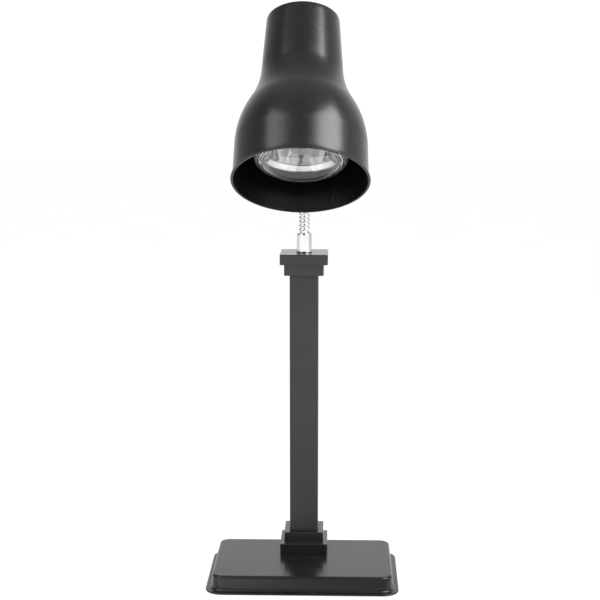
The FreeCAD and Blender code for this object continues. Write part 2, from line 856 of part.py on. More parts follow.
def shade_outline():
    """Outer skin up, inner skin down, with a turned-in rim at the top."""
    turn_r = "shoulder_centre_r + ({}) * cos(shoulder_turn)"
    turn_s = "shoulder_centre_s + ({}) * sin(shoulder_turn)"
    waist_r = turn_r.format("shoulder_r + waist_r")
    waist_s = turn_s.format("shoulder_r + waist_r")
    start_r = "shoulder_centre_r + ({}) * cos(skirt_angle)"
    start_s = "shoulder_centre_s + ({}) * sin(skirt_angle)"
    inner = "shoulder_r - shade_wall"
    hollow = "waist_r + shade_wall"
    return [
        ("mouth_r", "0"), ("mouth_r", "lip_edge"), ("skirt_r", "lip_tall"),
        (start_r.format("shoulder_r"), start_s.format("shoulder_r"), "shoulder_r", 1),
        (turn_r.format("shoulder_r"), turn_s.format("shoulder_r"), "waist_r", -1),
        (f"{waist_r} - waist_r * cos(neck_angle)", f"{waist_s} - waist_r * sin(neck_angle)"),
        ("neck_top_r", "shade_tall"), ("top_opening_r", "shade_tall"),
        ("top_opening_r", TOP_PLATE), ("neck_top_r - shade_wall", TOP_PLATE),
        (f"{waist_r} - ({hollow}) * cos(neck_angle)",
         f"{waist_s} - ({hollow}) * sin(neck_angle)", hollow, 1),
        (turn_r.format(inner), turn_s.format(inner), inner, -1),
        (start_r.format(inner), start_s.format(inner)),
        ("skirt_r - shade_wall", "lip_tall"), ("mouth_r - shade_wall", "0"),
    ]


def shade_shell(head):
    body = node(new_body("shade_shell"), "shade_shell")
    revolve(body, outline(body, "XZ_Plane", shade_outline()))
    holes = circles(body, "XY_Plane", cap_screw_spots(), "cap_screw_r + hole_gap",
                    "shade_tall + overlap")
    pocket(body, holes, "shade_wall + 2 * overlap")
    bore = circles(body, "XZ_Plane", [("0", "attach_height")], "pipe_r + hole_gap")
    pocket(body, bore, "mouth_r", up=False)
    return in_head(body, head)


def cap_screw_spots():
    turns = [(k + 0.5) * 360 / CAP_SCREWS for k in range(CAP_SCREWS)]
    return [(f"cap_screw_ring * cos({a})", f"cap_screw_ring * sin({a})") for a in turns]


def neck_top_cap(head):
    """Vented disc under the neck's rim that carries the switch and the lampholder."""
    body = node(new_body("neck_top_cap"), "neck_top_cap")
    pad(body, circles(body, "XY_Plane", [("0", "0")], "cap_r"), "cap_thick")
    cut = rectangle(body, "switch_wide + 2 * fit_gap", "switch_long + 2 * fit_gap", "0",
                    "cap_thick")
    pocket(body, cut, "cap_thick")
    half = "vent_wide / 2"
    slot = outline(body, "XY_Plane", [
        ("vent_inner", f"-{half}"), ("vent_outer", f"-{half}", "vent_end_r", 1),
        ("vent_outer", half), ("vent_inner", half, "vent_end_r", 1)], "cap_thick")
    vent = pocket(body, slot, "cap_thick")
    ring = body.newObject("PartDesign::PolarPattern", "vent_ring")
    ring.Originals = [vent]
    ring.Axis = (slot, ["N_Axis"])
    ring.Angle = 360
    ring.Occurrences = VENTS
    body.Tip = ring
    taps = circles(body, "XY_Plane", cap_screw_spots(), "cap_screw_r + touch_gap", "cap_thick")
    pocket(body, taps, "cap_thick")
    return in_head(body, head, z=CAP_UNDER)


def pan_screw(name, shank, head_r, long):
    """Pan-head screw that points down from its seat at z = 0."""
    body = new_body(name)
    revolve(body, outline(body, "XZ_Plane", [
        ("0", f"-({long})"), (shank, f"-({long})"), (shank, "0"), (head_r, "0"),
        (head_r, "pan_tall / 2"), (f"{head_r} - pan_tall / 2", "pan_tall"),
        ("0", "pan_tall")]))
    slot = rectangle(body, f"2 * {head_r}", "slot_wide", "0", "pan_tall")
    pocket(body, slot, "slot_deep")
    return body


def top_cap_screws(head):
    screws = []
    for x, y in cap_screw_spots():
        screw = pan_screw("cap_screw", "cap_screw_r", "cap_screw_head_r", "cap_screw_long")
        screws.append(in_head(screw, head, x, y, "shade_tall + seat_gap"))
    return group("top_cap_screws", screws)


def switch_body(head):
    """Rocker switch case: bezel above the cap, body below it, well for the rocker."""
    body = node(new_body("switch_body"), "switch_body")
    case = rectangle(body, "switch_wide", "switch_long", "0", "-switch_deep")
    pad(body, case, "switch_deep")
    bezel = rectangle(body, "bezel_wide", "bezel_long", "bezel_corner", "seat_gap")
    pad(body, bezel, "bezel_thick")
    under = rectangle(body, "switch_wide", "switch_long", "0", "-overlap")
    pad(body, under, "2 * overlap")
    well = rectangle(body, "well_wide", "well_long", "0", "bezel_thick + overlap")
    pocket(body, well, "bezel_thick + overlap + well_deep")
    pins = circles(body, "YZ_Plane", [("0", "0")], "pin_hole_r")
    pocket(body, pins, "pin_hole_long", both_ways=True)
    return in_head(body, head, z=TOP_PLATE)


def switch_rocker(head):
    """The rocker with its pivot pins, stored with its front end pressed in."""
    body = node(new_body("switch_rocker"), "switch_rocker")
    half = "rocker_long / 2"
    pad(body, outline(body, "YZ_Plane", [
        (f"-({half})", "rocker_rise"), (f"-({half})", "-rocker_foot"),
        ("-rocker_keel_half", "-rocker_keel"), ("rocker_keel_half", "-rocker_keel"),
        (half, "-rocker_foot"), (half, "rocker_rise"), ("0", "rocker_dip")]),
        "rocker_wide", both_ways=True)
    pad(body, circles(body, "YZ_Plane", [("0", "0")], "rocker_pin_r"), "rocker_pin_long",
        both_ways=True)
    return in_head(body, head, z=TOP_PLATE, rotation=FreeCAD.Rotation(X, size("rocker_tilt")))


def switch_terminals(head):
    tabs = []
    for k in (-1, 0, 1):
        tab = doc.addObject("Part::Box", "switch_tab")
        bind(tab, "Length", "tab_wide")
        bind(tab, "Width", "tab_thick")
        bind(tab, "Height", "tab_long")
        tabs.append(in_head(tab, head, "-tab_wide / 2", f"{k} * tab_pitch - tab_thick / 2",
                            f"{TOP_PLATE} - switch_deep - tab_long - seat_gap"))
    return group("switch_terminals", tabs)


def holder_screw_spots():
    return [("-holder_screw_across", "0"), ("holder_screw_across", "0")]


def lampholder_body(head):
    """Ceramic lampholder, open towards the mouth."""
    body = turned("lampholder_body", [
        ("holder_bore_r", "holder_mouth"), ("holder_r", "holder_mouth"),
        ("holder_r", "holder_floor"), ("holder_r - holder_step", "holder_floor + holder_taper"),
        ("holder_r - holder_step", "holder_top"), ("0", "holder_top"), ("0", "holder_floor"),
        ("holder_bore_r", "holder_floor")])
    taps = circles(body, "XY_Plane", holder_screw_spots(), "holder_screw_r + touch_gap",
                   "holder_top")
    pocket(body, taps, "holder_screw_long")
    return in_head(body, head)


def lampholder_shell(head):
    sleeve = turned("lampholder_shell", [
        ("sleeve_r - sleeve_wall", "sleeve_mouth"), ("sleeve_r", "sleeve_mouth"),
        ("sleeve_r", "holder_floor - sleeve_gap"),
        ("sleeve_r - sleeve_wall", "holder_floor - sleeve_gap")])
    return in_head(sleeve, head)


def lampholder_contact(head):
    """Springy centre tongue on the holder's floor."""
    body = node(new_body("lampholder_contact"), "lampholder_contact")
    tongue = rectangle(body, "tongue_wide", "tongue_long", "tongue_corner")
    pad(body, tongue, "tongue_thick")
    return in_head(body, head, z="holder_floor - tongue_thick - touch_gap")


def lampholder_bracket(head):
    """Bent strap from the cap down to the holder's top."""
    body = node(new_body("lampholder_bracket"), "lampholder_bracket")
    low, top = "holder_top + seat_gap", f"{CAP_UNDER} - seat_gap"
    strap = [("-bracket_half - bracket_foot", top), ("-bracket_half - bracket_foot",
            f"{top} - bracket_thick"), ("-bracket_half", f"{top} - bracket_thick"),
            ("-bracket_half", low), ("bracket_half", low),
            ("bracket_half", f"{top} - bracket_thick"),
            ("bracket_half + bracket_foot", f"{top} - bracket_thick"),
            ("bracket_half + bracket_foot", top), ("bracket_half - bracket_thick", top),
            ("bracket_half - bracket_thick", f"{low} + bracket_thick"),
            ("-bracket_half + bracket_thick", f"{low} + bracket_thick"),
            ("-bracket_half + bracket_thick", top)]
    pad(body, outline(body, "XZ_Plane", strap), "bracket_wide", both_ways=True)
    holes = circles(body, "XY_Plane", holder_screw_spots(), "holder_screw_r + hole_gap",
                    f"{low} + bracket_thick + overlap")
    pocket(body, holes, "bracket_thick + 2 * overlap")
    return in_head(body, head)


def holder_screws(head):
    screws = []
    for x, y in holder_screw_spots():
        screw = pan_screw("holder_screw", "holder_screw_r", "holder_screw_head_r",
                          "holder_screw_long")
        screws.append(in_head(screw, head, x, y, "holder_top + bracket_thick + 2 * seat_gap"))
    return group("holder_screws", screws)


def bulb_skin(inset, start):
    """Points of the bulb's back from its rim or lip to its stem, set in by inset."""
    return [
        (f"bulb_r - {inset}", start, f"bulb_body_r - {inset}", 1),
        (f"bulb_waist_r - {inset}", "bulb_waist_s", f"bulb_throat_r + {inset}", -1),
        (f"bulb_stem_r - {inset}", "bulb_stem_s"),
        (f"bulb_stem_r - {inset}", "bulb_cap_s"),
    ]


def bulb_glass(head):
    wall = "bulb_glass_wall"
    face = "bulb_front + bulb_face_dome"
    outer = [("0", "bulb_front", "bulb_dome_r", 1), ("bulb_face_r", face, "bulb_rim_r", 1)]
    outer += bulb_skin("0", "bulb_rim_s")
    inner = list(reversed(bulb_skin(wall, "bulb_rim_s")))
    inner = [
        inner[0][:2],
        (*inner[1][:2], f"bulb_throat_r + {wall}", 1),
        (*inner[2][:2], f"bulb_body_r - {wall}", -1),
        (*inner[3][:2], f"bulb_rim_r - {wall}", -1),
        (f"bulb_face_r - {wall} / 3", f"{face} + {wall}", f"bulb_dome_r - {wall}", -1),
        ("0", f"bulb_front + {wall}"),
    ]
    return in_head(turned("bulb_glass", outer + inner), head)


def lip_radius(inset):
    """Radius of the bulb's inside at the mirror's front edge."""
    r1, s1 = size(f"bulb_r - ({inset})"), size("bulb_rim_s")
    r2, s2 = size(f"bulb_waist_r - ({inset})"), size("bulb_waist_s")
    start, finish = V(r1, s1, 0), V(r2, s2, 0)
    chord = finish - start
    radius = size(f"bulb_body_r - ({inset})")
    rise = math.sqrt(radius ** 2 - (chord.Length / 2) ** 2)
    centre = (start + finish) * 0.5 + V(-chord.y, chord.x, 0).normalize() * rise
    return centre.x + math.sqrt(radius ** 2 - (size("mirror_lip_s") - centre.y) ** 2)


def bulb_reflector(head):
    """The mirror coat on the inside of the bulb's back."""
    near = "bulb_glass_wall + mirror_gap"
    far = "bulb_glass_wall + mirror_gap + mirror_wall"
    lip = "mirror_lip_s"
    points = [
        (lip_radius(near), lip, f"bulb_body_r - ({near})", 1),
        (f"bulb_waist_r - ({near})", "bulb_waist_s", f"bulb_throat_r + {near}", -1),
        (f"bulb_stem_r - ({near})", "bulb_stem_s"),
        (f"bulb_stem_r - ({far})", "bulb_stem_s", f"bulb_throat_r + {far}", 1),
        (f"bulb_waist_r - ({far})", "bulb_waist_s", f"bulb_body_r - ({far})", -1),
        (lip_radius(far), lip),
    ]
    return in_head(turned("bulb_reflector", points), head)


def bulb_cap(head):
    """Screw cap of the bulb, with its thread as rings."""
    foot = "bulb_cap_s + fit_gap"
    outer = [("bulb_stem_r + fit_gap + bulb_cap_wall", foot), ("thread_root_r", "thread_start")]
    for k in range(THREADS):
        low = f"thread_start + {k} * thread_pitch"
        outer.append(("thread_peak_r", f"{low} + thread_pitch / 2"))
        outer.append(("thread_root_r", f"{low} + thread_pitch"))
    outer.append(("bulb_contact_r + insulator_wide", "bulb_cap_end"))
    inner = [("bulb_contact_r + insulator_wide - bulb_cap_wall", "bulb_cap_end - bulb_cap_wall"),
             ("thread_root_r - bulb_cap_wall",
              f"thread_start + {THREADS} * thread_pitch - bulb_cap_wall"),
             ("thread_root_r - bulb_cap_wall", "thread_start + bulb_cap_wall"),
             ("bulb_stem_r + fit_gap", foot)]
    return in_head(turned("bulb_cap", outer + inner), head)


def bulb_insulator(head):
    return in_head(turned("bulb_insulator", [
        ("bulb_contact_r + touch_gap", "bulb_cap_end + touch_gap"),
        ("bulb_contact_r + insulator_wide", "bulb_cap_end + touch_gap"),
        ("bulb_contact_r + touch_gap", "bulb_cap_end + insulator_tall")]), head)


def bulb_contact(head):
    return in_head(turned("bulb_contact", [
        ("0", "bulb_cap_end + hole_gap"), ("bulb_contact_r", "bulb_cap_end + hole_gap"),
        ("bulb_contact_r", "bulb_end - contact_edge"),
        ("bulb_contact_r - 2 * contact_edge", "bulb_end"), ("0", "bulb_end")]), head)


def filament(head):
    """Open ring of coiled wire across the bulb's focus."""
    ring = node(doc.addObject("Part::Torus", "filament"), "filament")
    bind(ring, "Radius1", "filament_ring")
    bind(ring, "Radius2", "filament_r")
    bind(ring, "Angle3", "filament_arc")
    turn = FreeCAD.Rotation(Z, size("filament_turn"))
    return in_head(ring, head, z="filament_s", rotation=turn)


def filament_supports(head):
    """Glass stem with the two lead wires that carry the filament."""
    pieces = []
    stem = doc.addObject("Part::Cone", "stem_glass")
    bind(stem, "Radius1", "stem_glass_r / 2")
    bind(stem, "Radius2", "stem_glass_r")
    bind(stem, "Height", "bulb_stem_s - bulb_waist_s")
    pieces.append(in_head(stem, head, z="bulb_waist_s"))
    for side in (-1, 1):
        wire = new_body("lead_wire")
        spine = outline(wire, "XZ_Plane", [
            ("0", "bulb_waist_s - fit_gap"), ("0", "bulb_waist_s - support_straight"),
            (f"{side} * (filament_ring + filament_r + support_r + fit_gap)", "filament_s")],
            closed=False)
        ring = circles(wire, "XY_Plane", [("0", "0")], "support_r", "bulb_waist_s - fit_gap")
        sweep(wire, ring, spine)
        pieces.append(in_head(wire, head, f"{side} * (support_r + fit_gap)"))
    return group("filament_supports", pieces)


def head_lead(head):
    """From the last joint through the ferrule and up to the switch."""
    body = node(new_body("head_lead"), "head_lead")
    start = f"{shade_radius('attach_height')} + ferrule_long - lead_break"
    turn, rise, top = "head_lead_turn", "head_lead_rise", "head_lead_top"
    at = f"head_lead_bend_at - {turn}"
    spine = outline(body, "YZ_Plane", [
        (start, "attach_height"), ("head_lead_bend_at", "attach_height", turn, -1),
        (at, f"attach_height + {turn}"), (at, f"{top} - {rise}", rise, 1),
        (f"{at} - {rise}", top), ("head_lead_end", top)], closed=False)
    ring = circles(body, "XZ_Plane", [("0", "attach_height")], "lead_r", f"-({start})")
    sweep(body, ring, spine)
    return in_head(body, head)


def upper_ferrule(last):
    """Ferrule whose socket takes the last ball and whose spigot enters the shade."""
    foot = "ferrule_long - saddle_thick"
    points = socket_points() + [
        ("ferrule_r - ferrule_round", "joint_gap", "ferrule_round", 1),
        ("ferrule_r", "joint_gap + ferrule_round"), ("ferrule_r", foot), ("pipe_r", foot),
        ("pipe_r", "spigot_end"), ("neck_bore", "spigot_end")]
    body = turned("neck_ferrule_top", points)
    body.Placement = FreeCAD.Placement(last, FreeCAD.Rotation(X, size("bend_turn")))
    return body


def saddle_washer(head):
    """Spacer between the flat ferrule and the round neck of the shade."""
    face = f"{shade_radius('attach_height')} + saddle_thick"
    disc = doc.addObject("Part::Cylinder", "saddle_blank")
    bind(disc, "Radius", "saddle_r")
    bind(disc, "Height", "2 * saddle_thick")
    place(disc, 0, f"{face} - seat_gap", "attach_height", FreeCAD.Rotation(X, 90))
    tool = doc.addObject("Part::Cone", "saddle_neck")
    bind(tool, "Radius1", f"{shade_radius('attach_height - saddle_span')} + seat_gap")
    bind(tool, "Radius2", f"{shade_radius('attach_height + saddle_span')} + seat_gap")
    bind(tool, "Height", "2 * saddle_span")
    place(tool, 0, 0, "attach_height - saddle_span")
    bore = doc.addObject("Part::Cylinder", "saddle_bore")
    bind(bore, "Radius", "pipe_r + hole_gap")
    bind(bore, "Height", "saddle_span")
    place(bore, 0, f"{face} + overlap", "attach_height", FreeCAD.Rotation(X, 90))
    seat = doc.addObject("Part::Cut", "saddle_seat")
    seat.Base = disc
    seat.Tool = tool
    saddle = node(doc.addObject("Part::Cut", "saddle_washer"), "saddle_washer")
    saddle.Base = seat
    saddle.Tool = bore
    return in_head(saddle, head)


def ferrule_lock_nut(head):
    nut = hex_nut("ferrule_lock_nut", "nut_flats", "nut_thick", "pipe_r + touch_gap", 0, 0, 0)
    inside = f"{shade_radius('attach_height')} - shade_wall - lock_nut_gap"
    return in_head(nut, head, 0, inside, "attach_height", FreeCAD.Rotation(X, 90))


# ---------------------------------------------------------------- assembly


def build():
    base_shell()
    base_ballast()
    base_bottom_plate()
    base_pad()
    bottom_plate_screws()
    cord_gland()
    gland_nut()
    terminal_block()
    terminal_screws()
    stepped_block("post_foot", "tray_top")
    stepped_block("post_cap", "cap_top", FreeCAD.Rotation(X, 180))
    post_tube()
    tie_pipe()
    tie_washer()
    hex_nut("tie_nut", "nut_flats", "nut_thick", "pipe_r + touch_gap", 0, "post_along",
            "counterbore_top - washer_thick - nut_thick")
    neck_collar()
    stem_lead()
    first = V(0, size("post_along"), size("cap_top + collar_tall"))
    last = neck_links()
    neck_lead(first, last)
    head = head_placement(last)
    upper_ferrule(last)
    for make in (saddle_washer, ferrule_lock_nut, shade_shell, neck_top_cap, top_cap_screws,
                 switch_body, switch_rocker, switch_terminals, lampholder_body,
                 lampholder_shell, lampholder_contact, lampholder_bracket, holder_screws,
                 bulb_glass, bulb_reflector, bulb_cap, bulb_insulator, bulb_contact,
                 filament, filament_supports, head_lead):
        make(head)
    return head


def check():
    """Stop before writing if any object or any node's shape is unsound."""
    for item in doc.Objects:
        if {"Invalid", "Error"} & set(item.State):
            raise RuntimeError(f"{item.Label} failed: {item.State}")
    for item in NODES:
        if item.Shape.isNull() or not item.Shape.isValid():
            raise RuntimeError(f"{item.Label} has an unsound shape")


head_frame = build()
doc.recompute()
check()
os.makedirs("parts", exist_ok=True)
for item in NODES:
    item.Shape.exportStep(f"parts/{item.Label}.step")
print(len(NODES), "nodes; shade mouth centre", head_frame.Base)
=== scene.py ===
import json
import math

import bpy
from mathutils import Matrix, Vector


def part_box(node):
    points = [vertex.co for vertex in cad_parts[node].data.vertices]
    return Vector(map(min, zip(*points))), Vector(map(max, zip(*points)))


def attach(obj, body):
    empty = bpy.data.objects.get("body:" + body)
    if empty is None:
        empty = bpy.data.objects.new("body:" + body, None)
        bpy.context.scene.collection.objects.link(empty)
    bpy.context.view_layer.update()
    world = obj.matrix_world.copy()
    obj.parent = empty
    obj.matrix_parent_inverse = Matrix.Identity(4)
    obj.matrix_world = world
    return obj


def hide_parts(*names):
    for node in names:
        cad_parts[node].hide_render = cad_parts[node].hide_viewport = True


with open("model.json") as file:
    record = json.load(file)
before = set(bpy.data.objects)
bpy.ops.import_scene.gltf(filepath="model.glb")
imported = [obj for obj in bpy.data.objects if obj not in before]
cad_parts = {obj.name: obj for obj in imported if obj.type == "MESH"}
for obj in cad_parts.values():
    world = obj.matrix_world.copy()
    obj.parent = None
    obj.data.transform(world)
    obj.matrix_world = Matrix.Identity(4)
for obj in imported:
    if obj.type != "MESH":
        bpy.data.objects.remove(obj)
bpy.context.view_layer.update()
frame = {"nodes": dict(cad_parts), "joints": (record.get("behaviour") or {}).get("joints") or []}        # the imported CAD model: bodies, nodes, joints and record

# Heat lamp warmer. Lengths in the outlines are millimetres in each piece's own frame,
# and every mesh is written in metres in the frame of the CAD model. A name that ends in
# _R is a radius.

MM = 0.001
NECK_JOINTS = [j for j in frame["joints"] if j["name"].startswith("neck_")]

POST_AXIS = Vector(NECK_JOINTS[0]["pos_m"]) / MM
NECK_END = Vector(NECK_JOINTS[-1]["pos_m"]) / MM
LINK = 11.5              # from one neck joint to the next
STRAIGHT_LINKS = 12      # the neck's lower links stand upright
CURVED_LINKS = 6         # and the upper ones share one bend
BEND = 57.9              # degrees that the whole bend leans forward
PITCH = LINK / 2         # of the wound wire

TRAY_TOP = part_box("base_shell")[1].z / MM
TRAY_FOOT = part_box("base_shell")[0].z / MM
CAP_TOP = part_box("post_cap")[1].z / MM
FOOT_HIGH = (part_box("post_foot")[1].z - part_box("post_foot")[0].z) / MM
POST_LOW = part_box("post_tube")[0].z / MM
POST_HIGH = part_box("post_tube")[1].z / MM
SHARP_ANGLE = math.radians(38)


# ---------------------------------------------------------------- outlines


def arc(centre, radius, first, last, steps):
    """Points on a circle from one angle to another, in degrees."""
    turns = [math.radians(first + (last - first) * k / steps) for k in range(steps + 1)]
    return [(centre[0] + radius * math.cos(a), centre[1] + radius * math.sin(a)) for a in turns]


def rounded(points, closed=False, steps=5):
    """A polyline of (x, y) or (x, y, radius) points with its given corners made round."""
    out = []
    count = len(points)
    for i, point in enumerate(points):
        radius = point[2] if len(point) > 2 else 0
        here = Vector(point[:2])
        inner = closed or 0 < i < count - 1
        if not radius or not inner:
            out.append(tuple(here))
            continue
        before = (Vector(points[i - 1][:2]) - here).normalized()
        after = (Vector(points[(i + 1) % count][:2]) - here).normalized()
        half = before.angle(after) / 2
        reach = radius / math.tan(half)
        start, finish = here + before * reach, here + after * reach
        centre = here + (before + after).normalized() * (radius / math.sin(half))
        first = math.atan2(start.y - centre.y, start.x - centre.x)
        sweep = math.atan2(finish.y - centre.y, finish.x - centre.x) - first
        sweep = (sweep + math.pi) % (2 * math.pi) - math.pi
        for k in range(steps + 1):
            turn = first + sweep * k / steps
            out.append((centre.x + radius * math.cos(turn), centre.y + radius * math.sin(turn)))
    return out


def held(points, gap=0.25):
    """The same outline with an extra point close to both ends of each long stretch, so
    that smooth shading bends only at the corners."""
    out = [points[0]]
    for a, b in zip(points, points[1:]):
        a2, b2 = Vector(a), Vector(b)
        length = (b2 - a2).length
        if length > 6 * gap:
            step = (b2 - a2) * (gap / length)
            out += [tuple(a2 + step), tuple(b2 - step)]
        out.append(b)
    return out


# ---------------------------------------------------------------- meshes


def finish_piece(name, points, faces, material, body, nodes):
    """Make the object, ride it on its body and hide the CAD nodes that it replaces."""
    mesh = bpy.data.meshes.new(name)
    mesh.from_pydata([tuple(p * MM for p in v) for v in points], [], faces)
    mesh.validate()
    mesh.shade_smooth()
    mesh.set_sharp_from_angle(angle=SHARP_ANGLE)
    mesh.materials.append(material)
    piece = bpy.data.objects.new(name, mesh)
    bpy.context.scene.collection.objects.link(piece)
    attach(piece, body)
    if nodes:
        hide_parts(*nodes)
    return piece


def bridge(faces, low, high, count):
    """Quads between two rings that start at vertices low and high."""
    for k in range(count):
        after = (k + 1) % count
        faces.append((low + k, low + after, high + after, high + k))


def lathe(outline, place, steps=96, loop=False):
    """Turn (radius, height) points about the place's Z axis. A point on the axis is one
    vertex, and a loop joins the last point to the first."""
    points, faces, rings = [], [], []
    for radius, height in outline:
        on_axis = radius < 1e-6
        rings.append((len(points), 1 if on_axis else steps))
        if on_axis:
            points.append(place @ Vector((0, 0, height)))
            continue
        for k in range(steps):
            turn = 2 * math.pi * k / steps
            spot = Vector((radius * math.cos(turn), radius * math.sin(turn), height))
            points.append(place @ spot)
    pairs = list(zip(rings, rings[1:]))
    if loop:
        pairs.append((rings[-1], rings[0]))
    for (low, low_count), (high, high_count) in pairs:
        if low_count == high_count == steps:
            bridge(faces, low, high, steps)
        elif low_count == 1 and high_count == steps:
            faces += [(low, high + (k + 1) % steps, high + k) for k in range(steps)]
        elif high_count == 1 and low_count == steps:
            faces += [(low + k, low + (k + 1) % steps, high) for k in range(steps)]
    return points, faces


def square_ring(half_x, half_y, corner, height, centre=(0, 0), steps=8):
    """A rectangle's outline with round corners, as a ring of points."""
    ring = []
    for k, (sx, sy) in enumerate(((1, 1), (-1, 1), (-1, -1), (1, -1))):
        middle = (sx * (half_x - corner), sy * (half_y - corner))
        for x, y in arc(middle, corner, 90 * k, 90 * (k + 1), steps):
            ring.append(Vector((centre[0] + x, centre[1] + y, height)))
    return ring


def stacked(rings, caps=True, loop=False):
    """Join rings of the same number of points, one above the other."""
    count = len(rings[0])
    points = [p for ring in rings for p in ring]
    faces = []
    for k in range(len(rings) - 1):
        bridge(faces, k * count, (k + 1) * count, count)
    if loop:
        bridge(faces, (len(rings) - 1) * count, 0, count)
    elif caps:
        faces.append(tuple(reversed(range(count))))
        faces.append(tuple(range((len(rings) - 1) * count, len(rings) * count)))
    return points, faces


def joined(*parts):
    """Several (points, faces) lists as one."""
    points, faces = [], []
    for more_points, more_faces in parts:
        shift = len(points)
        points += more_points
        faces += [tuple(shift + i for i in face) for face in more_faces]
    return points, faces


def leaning(degrees):
    """A frame whose Z axis leans forward, towards -Y, by an angle."""
    return Matrix.Rotation(math.radians(degrees), 4, "X")


def at(spot, turn=None):
    """A frame with its origin at the spot, upright unless a turn is given."""
    return Matrix.Translation(spot) @ (turn or Matrix.Identity(4))


# ---------------------------------------------------------------- materials


class Nodes:
    """A short way to write a material's nodes."""

    def __init__(self, name):
        self.material = bpy.data.materials.new(name)
        self.material.use_nodes = True
        self.tree = self.material.node_tree
        self.shader = self.tree.nodes["Principled BSDF"]
        self.place = self.add("ShaderNodeTexCoord").outputs["Object"]

    def add(self, kind, **values):
        item = self.tree.nodes.new(kind)
        for key, value in values.items():
            setattr(item, key, value)
        return item

    def link(self, source, target):
        self.tree.links.new(source, target)

    def noise(self, size_mm, detail=4, roughness=0.55, stretch=None):
        """Noise whose features are about size_mm across."""
        item = self.add("ShaderNodeTexNoise")
        item.inputs["Scale"].default_value = 1 / (size_mm * MM)
        item.inputs["Detail"].default_value = detail
        item.inputs["Roughness"].default_value = roughness
        source = self.place
        if stretch:
            mapping = self.add("ShaderNodeMapping")
            mapping.inputs["Scale"].default_value = stretch
            self.link(source, mapping.inputs["Vector"])
            source = mapping.outputs["Vector"]
        self.link(source, item.inputs["Vector"])
        return item.outputs["Fac"]

    def remap(self, source, low, high, to_low, to_high):
        item = self.add("ShaderNodeMapRange")
        for key, value in zip(("From Min", "From Max", "To Min", "To Max"),
                              (low, high, to_low, to_high)):
            item.inputs[key].default_value = value
        self.link(source, item.inputs["Value"])
        return item.outputs["Result"]

    def mix(self, factor, first, second):
        """A colour between two colours, each a grey, an RGB or a socket."""
        item = self.add("ShaderNodeMix", data_type="RGBA")
        sockets = [s for s in item.inputs if s.type == "RGBA"]
        for socket, value in zip(sockets, (first, second)):
            if isinstance(value, bpy.types.NodeSocket):
                self.link(value, socket)
            else:
                colour = (value,) * 3 if isinstance(value, float) else value
                socket.default_value = (*colour, 1)
        self.link(factor, item.inputs["Factor"])
        return [s for s in item.outputs if s.type == "RGBA"][0]

    def multiply(self, first, second):
        item = self.add("ShaderNodeMath", operation="MULTIPLY")
        self.link(first, item.inputs[0])
        if isinstance(second, bpy.types.NodeSocket):
            self.link(second, item.inputs[1])
        else:
            item.inputs[1].default_value = second
        return item.outputs["Value"]

    def bump(self, source, height_mm):
        item = self.add("ShaderNodeBump")
        item.inputs["Strength"].default_value = 1.0
        item.inputs["Distance"].default_value = height_mm * MM
        self.link(source, item.inputs["Height"])
        return item.outputs["Normal"]

    def facing_up(self):
        """1 where the surface faces up, 0 where it is upright or faces down."""
        geometry = self.add("ShaderNodeNewGeometry")
        split = self.add("ShaderNodeSeparateXYZ")
        self.link(geometry.outputs["Normal"], split.inputs["Vector"])
        return self.remap(split.outputs["Z"], 0.2, 0.95, 0.0, 1.0)

    def set(self, **values):
        """Values or sockets for the shader's own sockets; gives back the material."""
        for key, value in values.items():
            socket = self.shader.inputs[key.replace("_", " ")]
            if isinstance(value, bpy.types.NodeSocket):
                self.link(value, socket)
            else:
                socket.default_value = value
        return self.material


def enamel(name, grey, rough, dust=0.05, gloss=0.5):
    """Sprayed and stoved black enamel: faint orange peel, fine wipe marks and dust."""
    n = Nodes(name)
    cloud = n.noise(38, 3)
    specks = n.remap(n.noise(0.9, 2), 0.66, 0.74, 0.0, 1.0)
    dusty = n.multiply(n.multiply(n.facing_up(), n.remap(cloud, 0.3, 0.7, 0.2, 1.0)), dust)
    base = n.mix(n.remap(cloud, 0.3, 0.7, 0.0, 1.0), grey * 0.86, grey * 1.12)
    base = n.mix(n.multiply(specks, dusty), base, 0.45)
    base = n.mix(n.multiply(dusty, 0.25), base, (0.32, 0.31, 0.3))
    wipes = n.noise(9, 5, 0.7, stretch=(1.0, 1.0, 0.25))
    n.set(Base_Color=base, Roughness=n.remap(wipes, 0.25, 0.75, rough * 0.84, rough * 1.2),
          Normal=n.bump(n.noise(3.0, 1, 0.4), 0.003))
    return n.set(IOR=1.5, Specular_IOR_Level=gloss)


def metal(name, tint, rough, grain_mm, grain_high):
    """Plated or plain metal with faint grain and handling marks."""
    n = Nodes(name)
    marks = n.noise(grain_mm, 6, 0.65)
    stain = n.noise(24, 4)
    low = tuple(c * 0.9 for c in tint)
    base = n.mix(n.remap(stain, 0.3, 0.7, 0.0, 1.0), low, tint)
    return n.set(Base_Color=base, Metallic=1.0,
                 Roughness=n.remap(marks, 0.25, 0.75, rough * 0.7, rough * 1.3),
                 Normal=n.bump(marks, grain_high))


def moulded(name, colour, rough, grain_mm=0.7, grain_high=0.006, sheen=0.0):
    """Moulded plastic or rubber with a fine spark-eroded grain."""
    n = Nodes(name)
    cloud = n.noise(16, 3)
    dark = tuple(c * 0.85 for c in colour)
    base = n.mix(n.remap(cloud, 0.3, 0.7, 0.0, 1.0), dark, colour)
    n.set(Base_Color=base, Roughness=n.remap(n.noise(5, 4), 0.3, 0.7, rough * 0.88, rough * 1.12),
          Normal=n.bump(n.noise(grain_mm, 3), grain_high))
    return n.set(IOR=1.48, Sheen_Weight=sheen)


